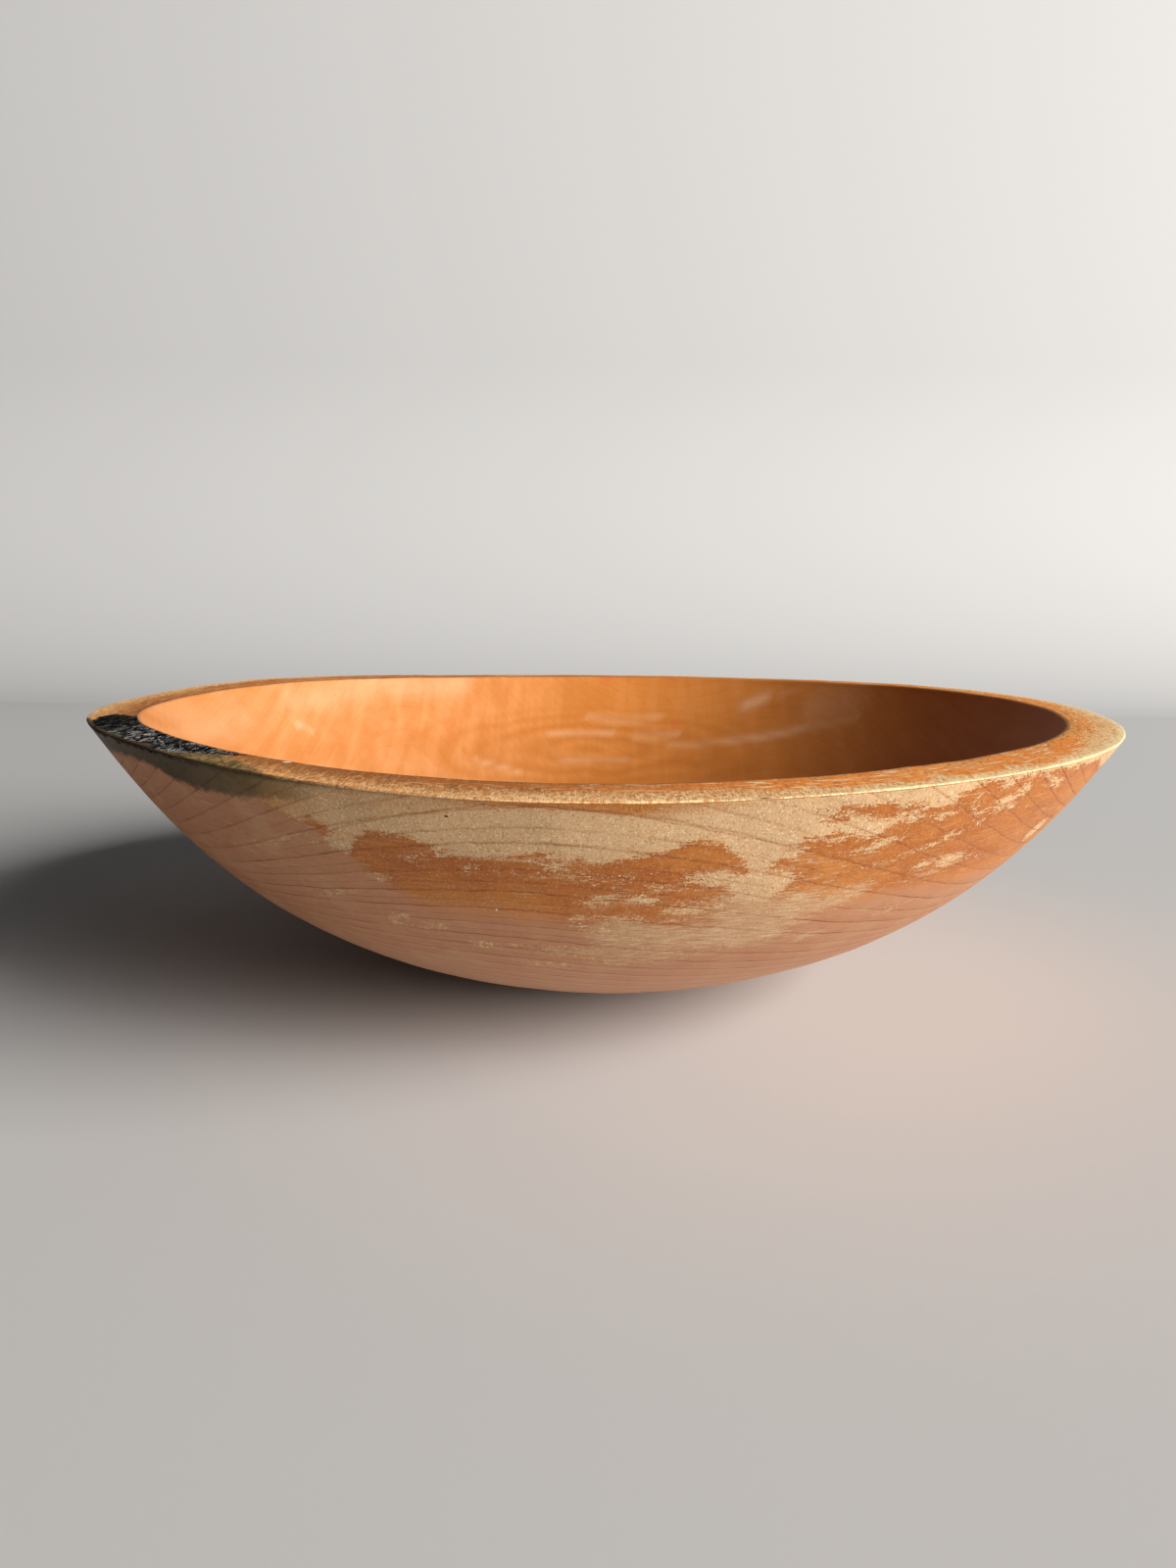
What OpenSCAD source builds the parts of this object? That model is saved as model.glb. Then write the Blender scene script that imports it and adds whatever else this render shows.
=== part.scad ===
// Lathe-turned wooden dough bowl, one piece of maple.
// The bowl stands on its flat foot. The origin is the middle of the foot, on the surface it rests on,
// and +Z runs up the axis that it was turned about. All sizes are in millimetres.
// Its wall is one section turned about Z. Outside, a single arc climbs from the edge of the foot to the
// crisp edge of the rim. Inside, the hollow is part of a sphere whose lowest point is on the axis.

/* [Outside] */
// Diameter over the rim
rim_d = 360; // [320:1:400]
// Height from the surface it rests on to the top of the rim
height = 95; // [85:1:110]
// Diameter of the flat foot
foot_d = 90; // [60:1:120]
// Radius of the arc that the outside follows from foot to rim
side_r = 200; // [170:1:260]

/* [Hollow] */
// Width of the rim, from the outer edge to the inner edge
rim_w = 17; // [12:0.5:22]
// Thickness of the wood in the middle of the base
floor_t = 15; // [10:0.5:22]

/* [Edges] */
// How much lower the outer edge of the rim lies than the inner edge
rim_fall = 1; // [0.4:0.1:2.5]
// Radius of the softened inner edge, the lip
lip_r = 2; // [1:0.1:3]
// Radius of the crisp outer edge
edge_r = 0.8; // [0.4:0.1:1.5]

/* [Hidden] */
// Colour of the worn varnish
maple = [0.80, 0.50, 0.28];
// Flats on a full circle, where curves are drawn as flats
$fn = 360;

// Sections are drawn in a half plane: x is the distance from the axis, y is the height.
rim_r = rim_d / 2;
foot_edge = [foot_d / 2, 0];

// The crisp edge is a small circle, tangent to the widest and highest lines of the rim's outside.
edge_c = [rim_r - edge_r, height - rim_fall - edge_r];

// Centre of the side's arc: side_r from the foot's edge, and touching the crisp edge's circle from outside.
span = norm(edge_c - foot_edge);
along = (edge_c - foot_edge) / span;
across = [-along.y, along.x];
near_r = side_r - edge_r;
foot_to_mid = (side_r * side_r - near_r * near_r + span * span) / (2 * span);
side_c = foot_edge + foot_to_mid * along + sqrt(side_r * side_r - foot_to_mid * foot_to_mid) * across;

// The hollow's sphere passes through the lip and touches the floor's level on the axis.
depth = height - floor_t;
reach = rim_r - rim_w;
hollow_r = (reach * reach + depth * depth) / (2 * depth);
hollow_c = [0, floor_t + hollow_r];

// The lip's circle touches the hollow from outside, with its top at the bowl's full height.
lip_y = height - lip_r;
lip_c = [sqrt(pow(hollow_r + lip_r, 2) - pow(lip_y - hollow_c.y, 2)), lip_y];

// The top of the rim is the common tangent of the two circles, and lift is square to it.
rim_run = edge_c - lip_c;
lift_deg = 90 + atan2(rim_run.y, rim_run.x) + asin((edge_r - lip_r) / norm(rim_run));
lift = [cos(lift_deg), sin(lift_deg)];

// Where each small circle touches the large arc below it.
lip_foot = lip_c + lip_r * (hollow_c - lip_c) / norm(hollow_c - lip_c);
edge_foot = edge_c + edge_r * (edge_c - side_c) / norm(edge_c - side_c);

// The section of the wall and the base, up to the two small circles.
module wall_section() {
    difference() {
        intersection() {
            translate(side_c) circle(r = side_r);
            polygon([
                [0, 0], [rim_r, 0], [rim_r, edge_foot.y], edge_foot,
                edge_c, lip_c, lip_foot, [0, lip_foot.y]
            ]);
        }
        translate(hollow_c) circle(r = hollow_r);
    }
}

// The section of the rim: its two rounded edges and the flat between them.
module rim_section() {
    translate(lip_c) circle(r = lip_r);
    translate(edge_c) circle(r = edge_r);
    polygon([lip_c, edge_c, edge_c + edge_r * lift, lip_c + lip_r * lift]);
}

module bowl() {
    color(maple)
        rotate_extrude() {
            wall_section();
            rim_section();
        }
}

bowl();
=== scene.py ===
# %% [markdown]
# # A turned wooden dough bowl
# This lesson dresses one solid from CAD, a plain bowl turned on a lathe, as the old maple bowl that
# it stands for. The CAD solid is round and level. The real bowl has shrunk a little out of round
# while it dried, its varnish has worn off in ragged patches, and one side of its rim is charred.
# The CAD file is loaded first and stays where it is; what is made here stands in its place.

# %% The frame
import math

import bpy
import numpy as np
from mathutils import Matrix, Vector


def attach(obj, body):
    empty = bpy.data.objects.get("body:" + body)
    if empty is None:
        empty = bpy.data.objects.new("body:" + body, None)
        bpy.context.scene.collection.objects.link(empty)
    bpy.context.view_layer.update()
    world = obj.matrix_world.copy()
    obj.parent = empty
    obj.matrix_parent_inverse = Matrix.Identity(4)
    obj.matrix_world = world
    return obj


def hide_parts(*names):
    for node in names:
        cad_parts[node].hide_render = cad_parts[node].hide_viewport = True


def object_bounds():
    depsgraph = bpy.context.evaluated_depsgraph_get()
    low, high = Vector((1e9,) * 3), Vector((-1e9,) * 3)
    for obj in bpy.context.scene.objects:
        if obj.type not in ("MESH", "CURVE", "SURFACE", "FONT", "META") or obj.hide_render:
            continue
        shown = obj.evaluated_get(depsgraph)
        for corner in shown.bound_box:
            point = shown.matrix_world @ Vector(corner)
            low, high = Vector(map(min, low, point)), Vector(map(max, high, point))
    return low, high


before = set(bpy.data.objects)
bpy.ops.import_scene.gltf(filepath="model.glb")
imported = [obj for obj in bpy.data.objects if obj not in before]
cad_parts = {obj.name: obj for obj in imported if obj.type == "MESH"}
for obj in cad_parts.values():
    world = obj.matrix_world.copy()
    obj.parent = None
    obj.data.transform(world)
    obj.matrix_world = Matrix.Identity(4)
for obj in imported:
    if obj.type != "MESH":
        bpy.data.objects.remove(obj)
cad_low, cad_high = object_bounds()
MM = 0.001
print("CAD box, mm:", [round(v / MM, 1) for v in (*cad_low, *cad_high)])

# %% [markdown]
# ## The camera
# The camera stood about 40 mm above the rim and 230 mm in front of it, looking a little down, which is
# why the near rim hides most of the hollow. The lens is an assumption, the usual one of a phone,
# because longer ones fit just as well. The place and the tilt then come from a least-squares fit of
# the two rim ovals and the outline of the bowl, so they are kept as angles and distances.

# %% Camera
IMAGE_LONG_SIDE = 1600
FOCAL_PIXELS = 1109
SENSOR = 36
CAMERA_AT = (0.0, -409.6, 134.1)
LOOK_DOWN = 0.1702
TURN_RIGHT = -0.0127
LEAN = -0.0116

camera_data = bpy.data.cameras.new("camera")
camera_data.sensor_width = SENSOR
camera_data.lens = FOCAL_PIXELS * SENSOR / IMAGE_LONG_SIDE
camera = bpy.data.objects.new("camera", camera_data)
bpy.context.scene.collection.objects.link(camera)
ahead = Vector((math.sin(TURN_RIGHT) * math.cos(LOOK_DOWN),
                math.cos(TURN_RIGHT) * math.cos(LOOK_DOWN),
                -math.sin(LOOK_DOWN)))
level_right = Vector((math.cos(TURN_RIGHT), -math.sin(TURN_RIGHT), 0.0))
level_down = ahead.cross(level_right)
right = level_right * math.cos(LEAN) + level_down * math.sin(LEAN)
down = level_down * math.cos(LEAN) - level_right * math.sin(LEAN)
turn = Matrix((right, -down, -ahead)).transposed()
camera.matrix_world = Matrix.Translation(Vector(CAMERA_AT) * MM) @ turn.to_4x4()
bpy.context.scene.camera = camera
print("lens, mm:", round(camera_data.lens, 2))

# %% [markdown]
# ## How the bowl moved as it dried
# A bowl is turned round, and then wood shrinks more across the grain than along it. The rim becomes an
# oval, longer along the grain, and warps like a shallow saddle. Both are waves round the rim, so each
# is written as a short list of waves: how many bumps it has round the bowl, and how high they are.
# The heights weren't chosen by hand: they come from the same fit as the camera's place, and so do
# the radius of the hollow's edge and the three numbers of DROP, further down. The turned radius is
# the CAD solid's, to a whole millimetre, because the facets of its mesh take off a few hundredths.

# %% Oval and warp
RIM_R = float(round((cad_high[0] - cad_low[0]) / 2 / MM))
OVAL = {2: (-3.57, -0.09), 3: (0.33, 0.41)}
HOLLOW_R = 162.75
HOLLOW_OVAL = {1: (2.01, 0.16), 2: (1.54, 3.70)}
WARP = {2: (1.72, 0.25), 3: (0.14, -0.16), 4: (-0.57, 0.04), 5: (0.28, 0.28), 6: (-0.12, -0.12)}


def waves(turned, table):
    """Sum over the table of a * cos(n * angle) + b * sin(n * angle)."""
    return sum(a * np.cos(n * turned) + b * np.sin(n * turned) for n, (a, b) in table.items())


def rim_radius(turned):
    """Outer radius of the rim at an angle: the turned radius plus the oval's waves."""
    return RIM_R + waves(turned, OVAL)


def hollow_radius(turned):
    """Radius of the hollow's edge: its own waves, plus its share of the outer oval."""
    share = HOLLOW_R / RIM_R
    return HOLLOW_R + waves(turned, HOLLOW_OVAL) + share * (rim_radius(turned) - RIM_R)


def warp(turned, out):
    """Height of the saddle: each wave grows as the distance from the middle, to the power of its bumps."""
    return sum(out**n * (a * np.cos(n * turned) + b * np.sin(n * turned))
               for n, (a, b) in WARP.items())


angles = np.radians([0.0, 90.0, 180.0, 270.0])
print("turned radius, mm:", RIM_R, "now right, back, left, front:", rim_radius(angles).round(1))

# %% [markdown]
# ## The profile, from foot to rim to hollow
# Spinning a profile is how a bowl is really made. Here the profile is one closed walk: over the flat
# foot, up the outside, round the crisp outer edge, over the rim, round the lip and down into the
# hollow. Rows lie close together where there is much to see, so the walk is built from six pieces.

# %% Profile pieces
CAD_TOP = float(round(cad_high[2] / MM))
RIM_BELOW_TOP = 0.7
LIP_BELOW_RIM = 0.2
RIM_Z = CAD_TOP - RIM_BELOW_TOP
LIP_Z = RIM_Z - LIP_BELOW_RIM
FLOOR_Z = 15.0
EDGE_ROUND = 0.35
LIP_ROUND = 2.0
FOOT_DISH = 0.8
LIP_TOP = LIP_Z + 0.2
LIP_REACH = 0.9
DROP = (70.35, -36.32, 76.09)
EDGE_EASE = 0.35
EDGE_FROM = 0.93
EDGE_GAP = 0.05


def drop(out):
    """Fall of the outside below the rim, s from 0 at the axis to 1: a(1 - s) + b(1 - s^2) + c(1 - s^4),
    plus an ease that grows as a square from EDGE_FROM to the edge."""
    a, b, c = DROP
    ease = EDGE_EASE * np.clip((out - EDGE_FROM) / (1 - EDGE_FROM), 0, 1) ** 2
    return a * (1 - out) + b * (1 - out**2) + c * (1 - out**4) + ease


share_of_r = np.linspace(0.2, 1.0, 2001)
FOOT_OUT = float(np.interp(-RIM_Z, -drop(share_of_r), share_of_r))
EDGE_OUT = 1 - EDGE_GAP / RIM_R
print("rim height, mm:", RIM_Z, "foot radius, mm:", round(FOOT_OUT * RIM_R, 1))

# %% [markdown]
# The angles round the bowl are the grid's other direction. The front carries the worn varnish, with
# marks a few millimetres wide, so the columns stand closer together there.

# %% Angles round the bowl
COLUMNS = 592
FRONT = math.radians(-92)
CROWDING = 0.62
even = np.linspace(-math.pi, math.pi, COLUMNS, endpoint=False)
turned = FRONT + even - CROWDING * np.sin(even)
turned = np.mod(turned + math.pi, 2 * math.pi) - math.pi
print("columns", COLUMNS, "spacing at the front, mm:",
      round((1 - CROWDING) * 2 * math.pi / COLUMNS * RIM_R, 2))

# %% [markdown]
# Now the walk itself. Each row is one ring of points, and it also notes which part of the bowl it lies
# on and how far along, so that the finishes can tell where they are. Rows crowd towards the rim, where
# the worn varnish is, and towards the top of the hollow, which the camera sees.

# %% Rows of the grid
FOOT, OUTSIDE, RIM, HOLLOW = 0.0, 1.0, 2.0, 3.0
FOOT_ROWS = 8
FLAT_RING = (0.95, 0.985)
OUTSIDE_ROWS = 74
EDGE_LEANS = (-20, 0, 25, 50, 75)
EDGE_SPREAD = 0.04
RIM_ROWS = 18
LIP_ROWS = 6
LIP_TURN = 0.84
LIP_ON_RIM = 0.3
HOLLOW_ROWS = 52
HOLLOW_LAST = 0.985
CROWD_UP = 1.55
CROWD_IN = 1.15
WARP_FROM_FOOT = 0.1
rows = []


def add_row(part, along, radius, height):
    """One ring of points: a part number, the place along that part, and radius and height per column."""
    rows.append((part, along, np.broadcast_to(radius, turned.shape),
                 np.broadcast_to(height, turned.shape)))


outer = rim_radius(turned)
inner = hollow_radius(turned)
for share in np.linspace(0.06, 0.90, FOOT_ROWS):
    dish = FOOT_DISH * (1 - share**2)
    add_row(FOOT, share, share * FOOT_OUT * outer, dish)
for share in FLAT_RING:
    add_row(FOOT, share, share * FOOT_OUT * outer, 0.0)

fine = np.linspace(0.0, 1.0, OUTSIDE_ROWS) ** CROWD_UP
for out in (EDGE_OUT - (EDGE_OUT - FOOT_OUT) * fine)[::-1]:
    lift = np.clip((out - FOOT_OUT) / WARP_FROM_FOOT, 0, 1)
    height = RIM_Z - drop(out) + lift * warp(turned, out * outer / RIM_R)
    add_row(OUTSIDE, drop(out), out * outer, height)

edge_warp = warp(turned, outer / RIM_R)
for lean in np.radians(EDGE_LEANS):
    add_row(RIM, 1.0 + EDGE_SPREAD * math.cos(lean), outer - EDGE_ROUND * (1 - math.cos(lean)),
            RIM_Z - EDGE_ROUND * (1 - math.sin(lean)) + edge_warp)

lip_start = inner + LIP_REACH
rim_end = outer - EDGE_ROUND
for share in np.linspace(0.0, 1.0, RIM_ROWS)[:-1]:
    radius = rim_end + (lip_start - rim_end) * share
    height = RIM_Z + (LIP_TOP - RIM_Z) * share + warp(turned, radius / RIM_R)
    add_row(RIM, 1.0 - share, radius, height)

hollow_depth = LIP_Z - FLOOR_Z
sphere = (inner**2 + hollow_depth**2) / (2 * hollow_depth)
wall_angle = np.arcsin(inner / sphere)
for share in np.linspace(0.0, LIP_TURN, LIP_ROWS):
    lean = share * wall_angle
    radius = lip_start - LIP_ROUND * np.sin(lean)
    height = LIP_TOP - LIP_ROUND * (1 - np.cos(lean)) + warp(turned, radius / RIM_R)
    add_row(RIM if share < LIP_ON_RIM else HOLLOW, 0.0, radius, height)

wall_top = inner - LIP_REACH
for share in 1 - np.linspace(0.0, HOLLOW_LAST, HOLLOW_ROWS) ** CROWD_IN:
    radius = share * wall_top
    height = FLOOR_Z + sphere - np.sqrt(sphere**2 - radius**2) + warp(turned, radius / RIM_R)
    add_row(HOLLOW, 0.0, radius, height)
print("rows", len(rows), "triangles", 2 * COLUMNS * len(rows))

# %% [markdown]
# ## Real unevenness
# Fine pores can be left to the material, but what changes the outline is made in the mesh: the wood
# moved unevenly, the crisp edge has been knocked, and fire ate into the charred part. Smooth noise
# comes from adding waves that run in random directions, always the same ones, because they are seeded.

# %% Noise for the mesh
part = np.array([r[0] for r in rows])
along = np.array([r[1] for r in rows])
radius = np.array([r[2] for r in rows])
height = np.array([r[3] for r in rows])
grid = np.stack([radius * np.cos(turned), radius * np.sin(turned), height], axis=-1)
degrees = np.degrees(turned)


def lumps(points, size, seed, count=28):
    """Noise of about -1 to 1: a sum of sine waves of that size in random directions."""
    source = np.random.default_rng(seed)
    way = source.normal(size=(count, 3))
    way *= (source.uniform(0.6, 1.5, count) / np.linalg.norm(way, axis=1))[:, None]
    start = source.uniform(0, 2 * math.pi, count)
    total = np.zeros(points.shape[:-1])
    for w, s in zip(way, start):
        total += np.sin(points @ w * (2 * math.pi / size) + s)
    return total / math.sqrt(count / 2) / 1.6


print("lumps run from", lumps(grid[::8, ::8], 20, 1).min().round(2), "to",
      lumps(grid[::8, ::8], 20, 1).max().round(2))

# %% [markdown]
# ## Where the marks are
# A restorer would draw a map of the wear before touching it. This does the same: every mark is a few
# numbers, its angle round the bowl and its distance below the rim in millimetres. Each map is a field
# of millimetres inside a mark's border, kept on the mesh, and the material adds noise to it before it
# cuts it at zero. So the borders come out ragged, and finer than the mesh.

# %% Mark helpers
FAR = 9.0
everywhere = np.ones_like(radius, bool)
below = np.where(part == OUTSIDE, along, 0.0)[:, None] + np.zeros_like(radius)
across = np.where(part == RIM, along, 0.0)[:, None] + np.zeros_like(radius)
on_outside = (part == OUTSIDE)[:, None] & everywhere
on_rim = (part == RIM)[:, None] & everywhere
in_hollow = (part == HOLLOW)[:, None] & everywhere
on_foot = (part == FOOT)[:, None] & everywhere
MM_PER_DEGREE = math.radians(1) * RIM_R


def border(points):
    """Height of a line drawn through (degrees, height) points, at each column, straight between them."""
    table = np.array(points, float)
    return np.interp(degrees, table[:, 0], table[:, 1])[None, :]


def gap_degrees(at):
    """Degrees from each column to an angle, the short way round."""
    return (degrees - at + 180) % 360 - 180


def spots(base, marks, place, unit=1.0):
    """The larger of the field so far and each oval's own: (1 - distance / size) * smaller size, in mm."""
    field = base
    for at, level, half_wide, half_high, slope in marks:
        aside = gap_degrees(at)[None, :]
        rise = place - level - slope * aside
        far = np.hypot(aside / half_wide, rise / half_high)
        field = np.maximum(field, (1 - far) * min(half_wide * MM_PER_DEGREE, half_high * unit))
    return field


# %% [markdown]
# The first map is the pale band under the rim, where the varnish has come off. Its lower border is a
# line of points. Ovals add the torn spots and flecks below it and leave islands of orange inside it.
# The places on the front were read off the photo, laid flat on the fitted bowl under a grid.
# Those on the unseen back are made up.

# %% Bare wood under the rim
# The lower border of the pale band, (degrees, mm below the rim); the unseen back goes on in the same way.
BAND = [(-180, -6), (-124, -6), (-119, 2), (-117, 8), (-115, 9.5), (-113, 13), (-112, 19), (-111, 19.5),
        (-110, 18), (-109.3, 14), (-107.5, 11.5), (-104.5, 11.5), (-103, 13.2), (-102.5, 16.5),
        (-97, 16.2), (-93, 16.5), (-90, 17), (-88, 15.5), (-86, 14), (-84.5, 12.5), (-83, 10.5),
        (-81.5, 11), (-80, 14.5), (-79, 17.5), (-78.3, 19.5), (-77.5, 20), (-76.5, 18), (-75, 17),
        (-74, 14), (-72, 13.5), (-70, 12), (-68.5, 11.5), (-67, 9.5), (-65.5, 8), (-64, 6), (-62, 3.5),
        (-60, 1.6), (-50, 1.5), (-40, 2.5), (-36, 7), (-30, 4), (-22, 3), (-13, 13), (-5, 10), (3, 3),
        (18, 2), (30, 8), (40, 6), (50, 18), (60, 16), (68, 5), (84, 2.5), (95, 11), (103, 21),
        (111, 18), (119, 7), (132, 1), (150, -2), (165, -6), (180, -6)]
BARE_SPOTS = [(-80.8, 21.8, 2.4, 2.4, 0), (-77.2, 24.5, 2.6, 5.0, 0.3), (-75.3, 22.5, 1.4, 2, 0),
              (-93.4, 18.2, 0.9, 1.2, 0), (97, 33, 4, 3, 0), (52, 27, 2.5, 2, 0.3), (-18, 27, 2, 3, 0)]
ORANGE_IN_BAND = [(-113, 13.2, 1.6, 2.6, 0), (-95, 14.5, 1.3, 0.8, 0), (-87.4, 14.7, 0.3, 0.5, 0),
                  (-72.7, 6.8, 0.9, 1.1, 0), (-71.3, 4.6, 1.9, 1.2, 0.1), (-69.0, 6.0, 1.8, 2.0, 0.4),
                  (-66.3, 5.6, 1.5, 0.9, -0.2), (-72.5, 11.9, 1.7, 0.8, -0.4), (-75.6, 18.6, 1.5, 1.4, -0.5),
                  (-104.3, 13.5, 1.6, 1.3, 0.3), (-92.2, 15.6, 1.6, 0.7, 0.6)]
FLECKS = [(-89.3, 27, 0.9, 1.4, 0), (-90.6, 29, 0.8, 0.7, 0), (-86.5, 27.8, 1.3, 1.5, 0.3),
          (-84.7, 24, 1.0, 0.8, 0), (-81.2, 28.8, 1.3, 0.8, 0), (-88.2, 34.2, 1.6, 1.2, 0),
          (-91.7, 34.2, 0.5, 0.7, 0), (-91.5, 20.3, 2.2, 0.5, 0), (-94, 20.2, 1.0, 0.6, 0),
          (-89.6, 21.6, 1.2, 0.4, 0), (-100.2, 20.3, 0.5, 0.7, 0), (-108.8, 25.8, 0.6, 0.9, 0),
          (-104.7, 17.8, 0.8, 0.5, 0), (-82.5, 31.5, 1.6, 0.9, 0.2), (-83.6, 34.8, 0.9, 0.5, 0),
          (-109, 39, 1.0, 1.2, -0.4), (-110.3, 41.8, 0.8, 0.8, 0), (-106, 41.5, 1.0, 0.8, -0.4),
          (-101.5, 46.8, 1.0, 0.9, 0), (-95.5, 54, 1.5, 0.6, 0), (-97.5, 46, 1.0, 0.5, 0),
          (-91.6, 37.5, 0.8, 0.9, 0), (-89.4, 38.8, 1.0, 1.3, 0), (-94.2, 45.6, 1.1, 0.6, 0),
          (-91.3, 49.8, 1.2, 0.7, 0.3), (-92.9, 48.2, 1.0, 0.4, 0), (-88.4, 52, 1.4, 0.5, 0.5),
          (-69.2, 10.5, 1.5, 3.0, -0.3), (-66.0, 8.2, 1.3, 1.8, 0.2), (-64.7, 5.3, 0.5, 1.5, 0),
          (-63.2, 5.3, 1.1, 1.9, 0), (-62.4, 9.0, 1.0, 1.1, -0.3), (-64, 9.4, 0.5, 0.7, -0.3),
          (-59.9, 5, 0.4, 1.0, 0.5), (-59.3, 8.2, 0.4, 0.6, 0), (-57.1, 2.4, 1.1, 1.2, -0.2),
          (-53.7, 5.4, 0.9, 1.4, 0.6), (-55.4, 7.6, 1.7, 1.3, -0.5), (-55.8, 10.4, 0.4, 0.6, 0),
          (-54.0, 10.3, 0.6, 0.9, 0), (-57.2, 12.6, 0.4, 0.8, 0), (-58.2, 10.5, 0.4, 0.5, 0),
          (-60.1, 16.3, 0.9, 0.7, -0.6), (-62.3, 18.4, 1.5, 0.5, -0.7), (-66.7, 14.6, 0.9, 0.9, -0.5),
          (-68.4, 16.4, 1.3, 0.9, 0), (-61.0, 24.6, 0.9, 1.3, 0), (-57.0, 24.8, 2.0, 2.0, 0.2),
          (-54.2, 25.4, 1.3, 0.5, 0.2), (-59.6, 40.5, 0.7, 0.5, 0.8), (-58.1, 39.5, 1.0, 0.4, -0.4),
          (-61.5, 29.4, 0.5, 0.3, 0.3), (-48.9, 5.1, 1.4, 1.2, 0.4), (-50.6, 3.4, 0.9, 0.7, 0.9),
          (-46.8, 13.8, 0.7, 0.7, 0.5), (-41.8, 23, 1.8, 3.5, 0), (-66.6, 21.9, 0.5, 0.5, 0),
          (-117.5, 19, 2.4, 0.9, -1.0), (-113.4, 18.2, 0.8, 0.7, 0.4), (-116.4, 35.5, 1.4, 0.5, -1.0)]
bare = spots(border(BAND) - below, BARE_SPOTS, below)
bare = np.minimum(bare, -spots(np.full_like(below, -FAR), ORANGE_IN_BAND, below))
bare = spots(bare, FLECKS, below)
bare = np.where(on_outside, np.clip(bare, -FAR, FAR), -FAR)
print("share of the outside that is bare:", round(float((bare > 0).sum() / on_outside.sum()), 2))

# %% [markdown]
# Lower down, the varnish wasn't torn off but rubbed thin by a cloth, so the wood comes through like a
# haze. Such wear has no border. It is a share from 0 to 1 that rises towards the middle of each mark,
# and so is the amber line that a darker year of growth leaves in the bare wood.

# %% Soft wear


def haze(marks, place):
    """Soft ovals laid over each other: 1 - product of (1 - strength * exp(-distance^2))."""
    clear = np.ones_like(place)
    for at, level, half_wide, half_high, strength in marks:
        far = (gap_degrees(at)[None, :] / half_wide) ** 2 + ((place - level) / half_high) ** 2
        clear = clear * (1 - strength * np.exp(-far))
    return 1 - clear


RUBBED = [(-85.5, 41, 5.5, 5.5, 0.80), (-76, 41.5, 5.5, 6.0, 0.90), (-77.5, 29, 3.4, 7.5, 0.85),
          (-72.5, 31, 2.4, 3.5, 0.60), (-82, 32, 3.2, 2.2, 0.55), (-88.5, 38, 2.6, 4.0, 0.80),
          (-92, 47.5, 5.0, 2.4, 0.55), (-85, 50, 7, 3.8, 0.55), (-68.4, 45.6, 2.4, 2.3, 0.65),
          (-66.5, 29.8, 1.8, 2.5, 0.50), (-69, 33.4, 2.5, 1.8, 0.50), (-102, 46, 7, 4.5, 0.25),
          (-94, 55, 6, 3, 0.30), (-118, 46, 8, 3, 0.22), (-110, 40, 4, 3, 0.28), (-74, 36, 4, 4, 0.55),
          (-120, 36, 3, 3, 0.25), (-71, 22, 4.0, 5, 0.30), (-58.6, 28, 3, 3, 0.5),
          (-79.8, 17, 2.2, 2.5, 0.35), (-68.5, 31, 4, 4.5, 0.45), (-84, 25, 4, 3.5, 0.25),
          (-75, 17, 3, 3, 0.35), (-64, 12, 3, 4, 0.25), (-112, 14, 4, 4, 0.3),
          (45, 40, 16, 8, 0.6), (110, 44, 12, 6, 0.5), (170, 38, 14, 7, 0.5)]
AMBER = [(-94, 0.6, 5.5, 2.0, 0.95), (-88, 1.5, 3.5, 2.0, 0.90), (-98, 0.9, 2.0, 0.6, 0.5),
         (-117.5, 11, 3.5, 5, 0.45), (-83, 1.2, 5, 1.4, 0.35), (-105, 2.5, 5, 2.5, 0.25),
         (-116, 5, 4, 4, 0.5), (60, 2, 20, 2, 0.5)]
AMBER_LINE = [(-180, 60), (-133, 31), (-125, 25), (-120.5, 21.8), (-115.5, 18), (-112, 14.5),
              (-110, 11.5), (-107, 8.5), (-105, 6.5), (-100, 2.9), (-98, 1.6), (-94, 1.3), (-90, 2.4),
              (-88, 3.2), (-85, 5.4), (-80, 9.6), (-75, 14.5), (-70, 19.2), (-65, 24), (-60, 29),
              (-50, 60), (180, 60)]
worn = np.where(on_outside, haze(RUBBED, below), 0.0)
amber = np.where(on_outside, haze(AMBER, below), 0.0)
amber_line = np.where(on_outside, np.clip(below - border(AMBER_LINE), -FAR, FAR), FAR)
print("most worn:", round(float(worn.max()), 2))

# %% [markdown]
# The varnish itself is thick and orange high on the wall, and rubbed thin lower down, where the wood
# looks pink and dull. That change is soft, so it is a plain share from 0 to 1 with no ragged cut.

# %% Thick and thin varnish
THICK_TO = [(-180, 6), (-125, 2), (-117, 4), (-112, 15), (-108.5, 27), (-106, 33), (-85, 37), (-70, 34),
            (-60, 32), (-50, 34), (-30, 38), (0, 30), (40, 36), (80, 26), (120, 34), (150, 20), (180, 6)]
FADE = 11.0
DEEP_AT = [(-101, 23, 9, 8, 0.95), (-106, 19, 5, 6, 0.7), (-90, 24, 5, 5, 0.45), (-86, 18, 4, 4, 0.55),
           (-62, 14, 4, 4, 0.35), (-80, 13.5, 3, 3, 0.45), (-69.5, 5.5, 4, 3, 0.35), (-54, 20, 8, 10, 0.85),
           (-40, 16, 8, 14, 0.5), (30, 20, 30, 12, 0.5), (120, 22, 30, 10, 0.4)]
thick = np.clip((border(THICK_TO) - below) / FADE + 0.5, 0, 1)
thick = np.where(on_outside, thick, 0.0)
thick = np.where(in_hollow, 1.0, thick)
deep_coat = np.where(on_outside, haze(DEEP_AT, below), 0.0)

# %% [markdown]
# ## Fire and damp
# Somebody once stood this bowl too near a flame. The rim is black on one side, with silver fibres
# standing in it, and the soot and oil made a dull olive stain on the wall just below.

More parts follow.
